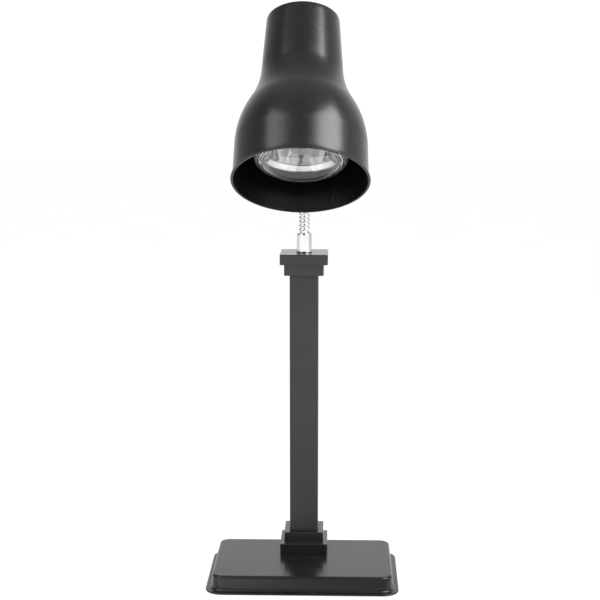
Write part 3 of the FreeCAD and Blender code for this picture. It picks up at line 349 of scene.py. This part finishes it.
def porcelain(name):
    """Glazed white porcelain with a few pits."""
    n = Nodes(name)
    cloud = n.noise(12, 3)
    pits = n.remap(n.noise(1.1, 2), 0.7, 0.76, 0.0, 1.0)
    base = n.mix(n.remap(cloud, 0.3, 0.7, 0.0, 1.0), (0.74, 0.73, 0.69), (0.83, 0.82, 0.79))
    base = n.mix(n.multiply(pits, 0.5), base, (0.5, 0.46, 0.4))
    n.set(Base_Color=base, Roughness=n.remap(cloud, 0.3, 0.7, 0.1, 0.2),
          Normal=n.bump(n.noise(4, 2), 0.02))
    return n.set(IOR=1.55, Coat_Weight=0.5, Coat_Roughness=0.06)


def clear_glass(name):
    """Clear bulb glass with slight waviness and a little dust on it."""
    n = Nodes(name)
    wave = n.noise(14, 2)
    base = n.mix(n.remap(wave, 0.3, 0.7, 0.0, 1.0), (0.93, 0.94, 0.94), (0.98, 0.985, 0.985))
    n.set(Base_Color=base, Roughness=n.remap(n.noise(6, 4), 0.35, 0.75, 0.0, 0.03),
          Normal=n.bump(wave, 0.03))
    return n.set(IOR=1.47, Transmission_Weight=1.0)


def mirror_coat(name, place, frosted, clear):
    """Vapour-coated aluminium behind the glass, with a fine moulded ripple. Along the
    place's Z axis it is frosted up to one height and clear from the other."""
    n = Nodes(name)
    axis = place.col[2].to_3d()
    along = n.add("ShaderNodeVectorMath", operation="DOT_PRODUCT")
    n.link(n.place, along.inputs[0])
    along.inputs[1].default_value = axis
    height = along.outputs["Value"]
    origin = place.translation.dot(axis)
    start, finish = (origin + frosted) * MM, (origin + clear) * MM
    ripple = n.noise(5, 2)
    rough = n.add("ShaderNodeMath", operation="ADD")
    n.link(n.remap(height, start, finish, 0.3, 0.0), rough.inputs[0])
    n.link(n.remap(ripple, 0.3, 0.7, 0.03, 0.09), rough.inputs[1])
    base = n.mix(n.remap(n.noise(20, 3), 0.3, 0.7, 0.0, 1.0), 0.6, 0.7)
    return n.set(Base_Color=base, Metallic=n.remap(height, start, finish, 0.45, 1.0),
                 Roughness=rough.outputs["Value"], Normal=n.bump(ripple, 0.012))


def cast_iron(name):
    """Bare grey iron with the roughness of the mould."""
    n = Nodes(name)
    base = n.mix(n.remap(n.noise(7, 5), 0.3, 0.7, 0.0, 1.0),
                 (0.06, 0.058, 0.055), (0.12, 0.115, 0.11))
    return n.set(Base_Color=base, Metallic=0.6,
                 Roughness=n.remap(n.noise(3, 4), 0.3, 0.7, 0.5, 0.75),
                 Normal=n.bump(n.noise(1.5, 5), 0.08))


TRAY_ENAMEL = enamel("tray_enamel", 0.004, 0.22, dust=0.08, gloss=0.36)
POST_ENAMEL = enamel("post_enamel", 0.012, 0.3, dust=0.03)
STEP_ENAMEL = enamel("step_enamel", 0.009, 0.2, dust=0.05)
SHADE_ENAMEL = enamel("shade_enamel", 0.003, 0.25, dust=0.03)
INSIDE_ENAMEL = enamel("inside_enamel", 0.004, 0.3, dust=0.0)
CAP_ENAMEL = enamel("cap_enamel", 0.02, 0.4)
CHROME = metal("chrome", (0.67, 0.67, 0.68), 0.07, grain_mm=2.5, grain_high=0.0008)
ZINC = metal("zinc_steel", (0.56, 0.57, 0.57), 0.34, grain_mm=1.2, grain_high=0.006)
BRASS = metal("brass", (0.80, 0.60, 0.29), 0.28, grain_mm=1.2, grain_high=0.004)
TUNGSTEN = metal("tungsten", (0.33, 0.32, 0.31), 0.4, grain_mm=0.5, grain_high=0.004)
NYLON = moulded("black_nylon", (0.025, 0.025, 0.026), 0.45)
SWITCH_PLASTIC = moulded("switch_plastic", (0.018, 0.018, 0.019), 0.22, grain_high=0.003)
BLOCK_PLASTIC = moulded("block_plastic", (0.72, 0.7, 0.64), 0.4)
SOLE_RUBBER = moulded("sole_rubber", (0.03, 0.03, 0.031), 0.75, 1.2, 0.05, sheen=0.2)
LEAD_RUBBER = moulded("lead_rubber", (0.04, 0.04, 0.041), 0.5, 0.8, 0.01, sheen=0.1)
VITRITE = moulded("vitrite", (0.012, 0.012, 0.016), 0.12, grain_high=0.002)
PORCELAIN = porcelain("porcelain")
GLASS = clear_glass("clear_glass")
IRON = cast_iron("cast_iron")


# ---------------------------------------------------------------- base and post


def base_tray():
    """Pressed tray: flange with a rolled edge, fillet, drafted wall and rounded top."""
    wide, deep, corner, reach, margin = 123.0, 82.0, 14.5, 9.0, 12.0
    sheet = 1.6
    flange_top = TRAY_FOOT + 2.5
    foot_out = math.tan(math.radians(1.6)) * (TRAY_TOP - TRAY_FOOT)
    skin = rounded([
        (reach - 1.8, TRAY_FOOT), (reach, TRAY_FOOT, 0.9), (reach, flange_top, 1.1),
        (foot_out, flange_top, 4.0), (0, TRAY_TOP, 3.4), (-margin, TRAY_TOP)], steps=8)
    inner = [(-margin, TRAY_TOP - sheet), (-sheet, TRAY_TOP - sheet), (-sheet, TRAY_FOOT)]
    outside = held(skin, 0.4)
    rings = [square_ring(wide + out, deep + out, corner + out, z) for out, z in outside + inner]
    count = len(rings[0])
    top, under = len(outside) - 1, len(outside)
    points, faces = stacked(rings, caps=False, loop=True)
    faces = [f for f in faces if not (min(f) >= top * count and max(f) < (under + 1) * count)]
    faces.append(tuple(range(top * count, (top + 1) * count)))
    faces.append(tuple(reversed(range(under * count, (under + 1) * count))))
    finish_piece("tray", points, faces, TRAY_ENAMEL, "stand", ["base_shell"])


def stepped_block(name, node, z, direction):
    """Stepped square block round the post, wide end at z, with its sharp edges eased."""
    wide, narrow, step, bore, ease = 33.25, 27.5, 14.5, 20.15, 0.7
    block_corner, bore_corner = 2.5, 2.9
    outline = held(rounded([
        (bore, 0), (wide, 0, ease), (wide, step, ease), (narrow, step, 0.5),
        (narrow, FOOT_HIGH, ease), (bore, FOOT_HIGH)], steps=4), 0.3)
    rings = []
    for half, rise in outline:
        corner = block_corner if half > bore + 0.1 else bore_corner
        rings.append(square_ring(half, half, corner, z + direction * rise, POST_AXIS.xy))
    if direction < 0:
        rings.reverse()
    points, faces = stacked(rings, loop=True)
    finish_piece(name, points, faces, STEP_ENAMEL, "stand", [node])


def cap_block():
    """The cap's top is closed round the tie pipe, under the chrome ferrule."""
    stepped_block("cap_block", "post_cap", CAP_TOP, -1)
    low, high = CAP_TOP - 3.0, CAP_TOP - 0.02
    hole, rim = (6.0, 5.9), (20.7, 2.9)
    rings = [square_ring(half, half, corner, z, POST_AXIS.xy)
             for (half, corner), z in ((hole, low), (rim, low), (rim, high), (hole, high))]
    points, faces = stacked(rings, loop=True)
    finish_piece("cap_lid", points, faces, STEP_ENAMEL, "stand", [])


def post():
    """Square tube with drawn corners."""
    outside, inside = (20, 20, 2.8), (18, 18, 1.2)
    heights = [POST_LOW, POST_LOW + 0.5, POST_HIGH - 0.5, POST_HIGH]
    rings = [square_ring(*outside, z, POST_AXIS.xy) for z in heights]
    rings += [square_ring(*inside, z, POST_AXIS.xy) for z in reversed(heights)]
    points, faces = stacked(rings, loop=True)
    finish_piece("post", points, faces, POST_ENAMEL, "stand", ["post_tube"])


# ---------------------------------------------------------------- gooseneck


WIRE_R = 2.42            # the neck's wound wire
COIL_R = 5.58            # from the neck's centre line to the wire's
CORE_R = 6.35            # what shows between the turns
BALL_R = 6.0
LEAD_R = 2.4


def joint_ball(place):
    """The smooth core where two lengths of neck meet, which shows when they bend."""
    outline = [(0, -BALL_R)] + arc((0, 0), BALL_R, -75, 75, 10) + [(0, BALL_R)]
    return lathe(outline, place, steps=32)


def neck_collar():
    """Chrome ferrule from the cap up to the first turn of the neck."""
    outline = held(rounded([
        (5.05, 0), (11.2, 0, 0.6), (11.2, 1.6, 0.4), (10.9, 2.0, 0.4), (10.5, 26.6, 2.4),
        (7.4, 27.3, 0.3), (6.3, 27.3), (6.3, 24.0), (5.05, 24.0)], closed=True, steps=6), 0.3)
    ferrule = lathe(outline, at(Vector((0, POST_AXIS.y, CAP_TOP))), loop=True)
    points, faces = joined(ferrule, joint_ball(at(POST_AXIS)))
    finish_piece("collar", points, faces, CHROME, "stand", ["neck_collar"])


def neck_path(index):
    """Position and frame along one link: a function of the distance from its start."""
    start = Vector(NECK_JOINTS[index]["pos_m"]) / MM
    if index < STRAIGHT_LINKS:
        return lambda s: at(start + Vector((0, 0, s)))
    first = BEND * (index - STRAIGHT_LINKS) / CURVED_LINKS
    rate = BEND / (CURVED_LINKS * LINK)
    radius = 1 / math.radians(rate)
    hub = start + leaning(first) @ Vector((0, -radius, 0))

    def spot(s):
        turn = leaning(first + rate * s)
        return at(hub + turn @ Vector((0, radius, 0)), turn)
    return spot


def coil(path, turns, steps=40, sides=10):
    """Round wire wound about the path, one turn to each pitch, with closed ends."""
    points, faces = [], []
    total = turns * steps
    for k in range(total + 1):
        s = PITCH * k / steps
        around = 2 * math.pi * k / steps
        frame_here = path(s)
        for j in range(sides):
            side = 2 * math.pi * j / sides
            out = COIL_R + WIRE_R * math.cos(side)
            local = Vector((out * math.cos(around), out * math.sin(around),
                            WIRE_R * math.sin(side)))
            points.append(frame_here @ local)
        if k:
            bridge(faces, (k - 1) * sides, k * sides, sides)
    faces.append(tuple(range(sides)))
    faces.append(tuple(reversed(range(total * sides, (total + 1) * sides))))
    return points, faces


def rod(path, radius, gap, rings=7, steps=28):
    """Round bar along one link's path, a gap short of both its ends."""
    turns = [2 * math.pi * j / steps for j in range(steps)]
    circle = [Vector((radius * math.cos(a), radius * math.sin(a), 0)) for a in turns]
    loops = []
    for k in range(rings):
        here = path(gap + (LINK - 2 * gap) * k / (rings - 1))
        loops.append([here @ spot for spot in circle])
    return stacked(loops)


def neck_link(index):
    """Two turns of wire, the core under them and the ball at the link's upper end."""
    path = neck_path(index)
    points, faces = joined(coil(path, 2), rod(path, CORE_R, 0.25), joint_ball(path(LINK)))
    number = f"{index + 1:02d}"
    finish_piece(f"neck_{number}", points, faces, CHROME, f"link_{number}",
                 [f"neck_link_{number}"])


def neck_lead_piece(index):
    """The lead's length inside one link, so that it follows the neck."""
    points, faces = rod(neck_path(index), LEAD_R, 0.3, rings=5, steps=16)
    number = f"{index + 1:02d}"
    finish_piece(f"neck_wire_{number}", points, faces, LEAD_RUBBER, f"link_{number}",
                 ["neck_lead"] if index == 0 else [])


# ---------------------------------------------------------------- head

SHADE_LEAN = BEND - 90
ATTACH = 178.5           # height on the shade's neck where the gooseneck ends
FERRULE_REACH = 24.0     # from the last joint to the shade's skin
NECK_DRAFT = 3.64        # degrees that the shade's neck narrows by, each side
NECK_TAPER = math.tan(math.radians(NECK_DRAFT))
NECK_TOP_R = 48.4
SHADE_TALL = 237.0
SHADE_WALL = 1.2
SHADE_STEPS = 176
VENT_R = 40.4            # opening in the shade's top


def head_frame():
    """The shade's own frame: origin at the mouth's centre, Z up through its neck."""
    turn = leaning(SHADE_LEAN)
    on_neck = NECK_END + leaning(BEND) @ Vector((0, 0, FERRULE_REACH))
    radius = NECK_TOP_R + (SHADE_TALL - ATTACH) * NECK_TAPER
    return at(on_neck - turn @ Vector((0, radius, ATTACH)), turn)


HEAD = head_frame()


def upper_ferrule():
    """Chrome ferrule from the last joint through the shade's skin."""
    outline = held(rounded([
        (5.0, 1.2), (8.3, 1.2, 0.4), (10.5, 4.2, 2.2), (10.5, 20.6, 0.5), (5.0, 20.6),
        (5.0, 32.1, 0.4), (3.0, 32.1), (3.0, 6.0)], closed=True, steps=6), 0.3)
    points, faces = lathe(outline, at(NECK_END, leaning(BEND)), steps=72, loop=True)
    finish_piece("upper_ferrule", points, faces, CHROME, "head",
                 ["neck_ferrule_top"])


def bell_and_waist():
    """The shade's outer skin between its skirt and its neck: an arc that bulges and one
    that curves back, which meet without a corner."""
    hub, bell_r, waist_r, low, meet = (-43.57, 46.1), 128.73, 112.7, 1.29, 29.87
    apart = bell_r + waist_r
    far_hub = (hub[0] + apart * math.cos(math.radians(meet)),
               hub[1] + apart * math.sin(math.radians(meet)))
    waist = arc(far_hub, waist_r, 180 + meet, 180 + NECK_DRAFT, 22)
    return arc(hub, bell_r, low, meet, 26) + waist[1:]


def offset_inwards(points, wall):
    """The same polyline moved to its left by the wall's thickness."""
    out = []
    for i, point in enumerate(points):
        before = Vector(points[max(i - 1, 0)])
        after = Vector(points[min(i + 1, len(points) - 1)])
        along = (after - before).normalized()
        out.append((point[0] - along.y * wall, point[1] + along.x * wall))
    return out


def walled(outside, inside, steps):
    """A turned wall: its outer skin, its inner skin and the ring between their last
    points. Also says at which vertex the inner skin starts."""
    outer = lathe(outside, HEAD, steps)
    start = len(outer[0])
    points, faces = joined(outer, lathe(inside[::-1], HEAD, steps))
    bridge(faces, start - steps, start, steps)
    return points, faces, start


def shade():
    """Spun shade: flared and rolled lip, bell, waist, long neck and turned-in top. Its
    inside has its own enamel."""
    under_top = SHADE_TALL - SHADE_WALL
    lip = rounded([(86.9, 0.0), (88.35, 0.35, 0.45), (88.2, 1.5, 0.6), (86.2, 3.2, 1.6),
                   (86.0, 8.0)], steps=4)
    skirt = [(85.95 - 0.0222 * (s - 8), s) for s in range(14, 47, 6)]
    neck = [(NECK_TOP_R + (SHADE_TALL - s) * NECK_TAPER, s) for s in range(165, 226, 6)]
    middle = skirt + bell_and_waist() + neck
    top = rounded([(48.9, SHADE_TALL - 8), (NECK_TOP_R, SHADE_TALL, 0.8),
                   (VENT_R, SHADE_TALL, 0.3), (VENT_R, under_top)], steps=4)
    inside = offset_inwards([(86.2, 0.6)] + middle + [(NECK_TOP_R, under_top)], SHADE_WALL)
    inside[-1] = (NECK_TOP_R - SHADE_WALL, under_top)
    points, faces, start = walled(lip + middle + top, inside, SHADE_STEPS)
    bridge(faces, len(points) - SHADE_STEPS, 0, SHADE_STEPS)
    piece = finish_piece("shade", points, faces, SHADE_ENAMEL, "head",
                         ["shade_shell"])
    piece.data.materials.append(INSIDE_ENAMEL)
    for polygon in piece.data.polygons:
        if min(polygon.vertices) >= start:
            polygon.material_index = 1


def through(start, finish, radius, side, steps):
    """Points on an arc between two spots; its hub is to the left (+1) or right (-1)."""
    start, finish = Vector(start), Vector(finish)
    chord = finish - start
    rise = math.sqrt(radius ** 2 - (chord.length / 2) ** 2)
    hub = (start + finish) / 2 + Vector((-chord.y, chord.x)).normalized() * rise * side
    first = math.degrees(math.atan2(start.y - hub.y, start.x - hub.x))
    last = math.degrees(math.atan2(finish.y - hub.y, finish.x - hub.x))
    return arc(hub, radius, first, first + (last - first + 180) % 360 - 180, steps)


# The bulb's outline as (radius, height above the shade's mouth)
BULB_FACE = (47.0, 26.9)
BULB_RIM = (60.7, 34.0)
BULB_LIP = (60.6, 35.2)
BULB_SHOULDER = (53.8, 58.0)
BULB_WAIST = (25.0, 112.0)
BULB_STEM = (15.2, 135.1)
BULB_FRONT = 23.0
BULB_SEAL, BULB_END = 148.0, 161.0
BULB_STEPS = 160
GLASS_WALL = 0.9
RIM_RIDGES = 5
RIDGE_POINTS = 10        # along each ridge
RIDGE_TALL = 0.9
MIRROR_LOW, MIRROR_HIGH = 35.0, 136.0
MIRROR_FROSTED, MIRROR_CLEAR = 43.0, 47.0
MIRROR_INSET, MIRROR_SHEET = 0.95, 0.3


def bulb_outline(inset=0.0, ridge=0.0):
    """The bulb's glass from its face to its stem, moved inwards by the inset, with
    moulded rings of the given height round the edge of the face."""
    face = through((0.0, BULB_FRONT), BULB_FACE, 285.0, 1, 8)
    rim = through(BULB_FACE, BULB_RIM, 13.4, 1, RIM_RIDGES * RIDGE_POINTS)
    for k, (r, s) in enumerate(rim):
        swell = ridge * math.sin(math.pi * k / RIDGE_POINTS) ** 2
        rim[k] = (r + swell * 0.45, s - swell * 0.9)
    band = rounded([BULB_RIM, (59.8, 46.0, 2.5), (55.2, 52.5, 3.5), BULB_SHOULDER])
    outline = face[:-1] + rim + [BULB_LIP] + band[1:]
    outline += through(BULB_SHOULDER, BULB_WAIST, 130.0, 1, 20)[1:]
    outline += through(BULB_WAIST, BULB_STEM, 35.0, -1, 10)[1:]
    outline += [(BULB_STEM[0], BULB_SEAL), (BULB_STEM[0], BULB_END)]
    if inset:
        outline = offset_inwards(outline, inset)
    outline[0] = (0.0, outline[0][1])
    return outline


def bulb():
    """Clear envelope with wall thickness, moulded rings near its rim, and the mirror."""
    outer, inner = bulb_outline(ridge=RIDGE_TALL), bulb_outline(GLASS_WALL)
    points, faces, _ = walled(outer, inner, BULB_STEPS)
    finish_piece("bulb_envelope", points, faces, GLASS, "head", ["bulb_glass"])
    coat = [p for p in bulb_outline(MIRROR_INSET) if MIRROR_LOW < p[1] < MIRROR_HIGH]
    back = offset_inwards(coat, MIRROR_SHEET)
    points, faces = lathe(coat + back[::-1], HEAD, steps=BULB_STEPS, loop=True)
    mirror = mirror_coat("mirror_coat", HEAD, MIRROR_FROSTED, MIRROR_CLEAR)
    finish_piece("bulb_mirror", points, faces, mirror, "head",
                 ["bulb_reflector"])


# ---------------------------------------------------------------- CAD pieces kept

KEPT = {
    "base_ballast": IRON, "base_bottom_plate": ZINC, "base_pad": SOLE_RUBBER,
    "bottom_plate_screws": ZINC, "cord_gland": NYLON, "gland_nut": NYLON,
    "terminal_block": BLOCK_PLASTIC, "terminal_screws": BRASS, "tie_pipe": ZINC,
    "tie_washer": ZINC, "tie_nut": ZINC, "stem_lead": LEAD_RUBBER, "saddle_washer": CHROME,
    "ferrule_lock_nut": ZINC, "neck_top_cap": CAP_ENAMEL, "top_cap_screws": ZINC,
    "switch_body": SWITCH_PLASTIC, "switch_rocker": SWITCH_PLASTIC, "switch_terminals": BRASS,
    "lampholder_body": PORCELAIN, "lampholder_shell": BRASS, "lampholder_contact": BRASS,
    "lampholder_bracket": ZINC, "holder_screws": ZINC, "bulb_cap": BRASS,
    "bulb_insulator": VITRITE, "bulb_contact": ZINC, "filament": TUNGSTEN,
    "filament_supports": GLASS, "head_lead": LEAD_RUBBER,
}


def repaint_kept():
    """The pieces that keep their CAD mesh get a material of their own."""
    for name, material in KEPT.items():
        mesh = frame["nodes"][name].data
        mesh.materials.clear()
        mesh.materials.append(material)


# ---------------------------------------------------------------- studio


def point(item, direction):
    """Turn a light or a camera so that it looks that way."""
    item.rotation_euler = direction.to_track_quat("-Z", "Y").to_euler()


def soft_box(name, azimuth, elevation, distance, wide, high, radiance):
    """Rectangular light aimed at the shade; the azimuth is to the right of the front."""
    light = bpy.data.lights.new(name, "AREA")
    light.shape = "RECTANGLE"
    light.size = wide
    light.size_y = high
    light.energy = radiance * math.pi * wide * high
    item = bpy.data.objects.new(name, light)
    side, up = math.radians(azimuth), math.radians(elevation)
    out = Vector((math.sin(side) * math.cos(up), -math.cos(side) * math.cos(up), math.sin(up)))
    item.location = HEAD.translation * MM + out * distance
    bpy.context.scene.collection.objects.link(item)
    point(item, -out)


def floor():
    """A pale table top that runs out to the horizon. Its glow is uneven only in front of
    the lamp, where the enamel mirrors it: weaker close by, and in a strip along the tray
    strong at the left and weak at the right."""
    side = 9.0
    points = [(-side, -side, 0), (side, -side, 0), (side, side, 0), (-side, side, 0)]
    mesh = bpy.data.meshes.new("table_top")
    mesh.from_pydata(points, [], [(0, 1, 2, 3)])
    n = Nodes("paper")
    base = n.mix(n.remap(n.noise(300, 3), 0.3, 0.7, 0.0, 1.0), 0.16, 0.2)
    split = n.add("ShaderNodeSeparateXYZ")
    n.link(n.place, split.inputs["Vector"])
    x, y = split.outputs["X"], split.outputs["Y"]
    along = n.remap(x, -0.14, 0.0, 1.9, 0.72)
    along = n.multiply(along, n.remap(x, 0.0, 0.14, 1.0, 0.6))
    far = n.remap(y, -1.8, -0.25, 1.45, 0.62)
    near = n.remap(y, -0.26, -0.2, 0.0, 1.0)
    ahead = n.remap(y, -0.118, -0.106, 1.0, 0.0)
    glow = n.mix(near, far, along)
    n.set(Base_Color=base, Roughness=0.9, Specular_IOR_Level=0.0,
          Emission_Color=(1, 1, 1, 1), Emission_Strength=n.mix(ahead, 0.9, glow))
    mesh.materials.append(n.material)
    item = bpy.data.objects.new("table_top", mesh)
    bpy.context.scene.collection.objects.link(item)


def sky():
    """Studio surround: white behind the lamp, greyer overhead, to both sides and behind
    the camera."""
    world = bpy.data.worlds.new("studio")
    bpy.context.scene.world = world
    world.use_nodes = True
    tree = world.node_tree
    where = tree.nodes.new("ShaderNodeTexCoord")
    split = tree.nodes.new("ShaderNodeSeparateXYZ")
    tree.links.new(where.outputs["Generated"], split.inputs["Vector"])

    def ramp(axis, start, finish, low, high):
        item = tree.nodes.new("ShaderNodeMapRange")
        item.interpolation_type = "SMOOTHSTEP"
        for key, value in zip(("From Min", "From Max", "To Min", "To Max"),
                              (start, finish, low, high)):
            item.inputs[key].default_value = value
        tree.links.new(split.outputs[axis], item.inputs["Value"])
        return item.outputs["Result"]

    def times(first, second):
        item = tree.nodes.new("ShaderNodeMath")
        item.operation = "MULTIPLY"
        tree.links.new(first, item.inputs[0])
        tree.links.new(second, item.inputs[1])
        return item.outputs["Value"]

    overhead = ramp("Z", 0.3, 0.8, 1.0, 0.55)
    front = ramp("Y", 0.1, -0.8, 1.0, 0.42)
    left = ramp("X", -0.3, -0.8, 1.0, 0.4)
    right = ramp("X", 0.35, 0.85, 1.0, 0.65)
    backdrop = tree.nodes["Background"]
    tree.links.new(times(times(overhead, front), times(left, right)),
                   backdrop.inputs["Color"])
    backdrop.inputs["Strength"].default_value = 1.06


def camera():
    """The photograph's view: two metres in front, at the height of the shade's neck."""
    lens = bpy.data.cameras.new("camera")
    lens.lens = 88.65
    lens.sensor_width = 36
    item = bpy.data.objects.new("camera", lens)
    item.location = (0.052, -2.002, 0.7065)
    yaw = math.atan2(-0.0283, 0.9996)
    pitch = math.radians(-8.93)
    point(item, Vector((math.sin(yaw) * math.cos(pitch), math.cos(yaw) * math.cos(pitch),
                        math.sin(pitch))))
    bpy.context.scene.collection.objects.link(item)
    bpy.context.scene.camera = item


def studio():
    """Table, surround, a strong light from the right, a weak one from the left."""
    floor()
    sky()
    soft_box("right_box", 60, 36, 1.9, 1.9, 1.5, 8.6)
    soft_box("left_box", -48, 36, 1.9, 1.7, 1.5, 3.2)
    camera()
    bpy.context.scene.view_settings.view_transform = "Standard"


# ---------------------------------------------------------------- assembly

base_tray()
stepped_block("foot_block", "post_foot", TRAY_TOP, 1)
cap_block()
post()
neck_collar()
for link_index in range(STRAIGHT_LINKS + CURVED_LINKS):
    neck_link(link_index)
    neck_lead_piece(link_index)
upper_ferrule()
shade()
bulb()
repaint_kept()
studio()
